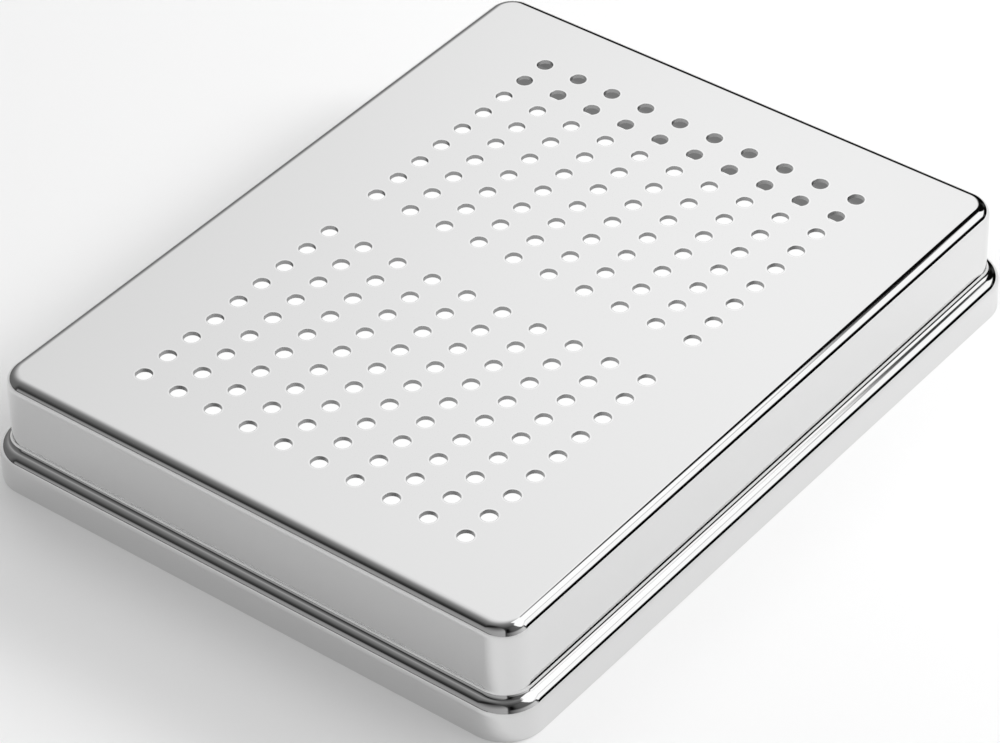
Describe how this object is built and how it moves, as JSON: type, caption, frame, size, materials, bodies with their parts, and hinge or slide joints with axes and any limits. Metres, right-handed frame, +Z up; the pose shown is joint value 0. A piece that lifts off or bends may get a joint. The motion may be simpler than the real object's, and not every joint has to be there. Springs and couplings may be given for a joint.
{
  "type": "dental instrument tray",
  "caption": "Perforated half-size dental instrument tray of polished stainless steel, drawn from one sheet, with a stepped rim and an open underside, standing rim down.",
  "frame": {"origin": "centre of the rim's lower plane, on the surface that the tray stands on", "axes": "+X along the short sides, +Y along the long sides, +Z up from the rim towards the perforated face"},
  "size_m": [0.1432, 0.183, 0.0276],
  "materials": {
    "polished_steel": "mirror-polished stainless steel sheet"
  },
  "bodies": {
    "root": {"tray_body": "polished_steel"}
  },
  "joints": []
}
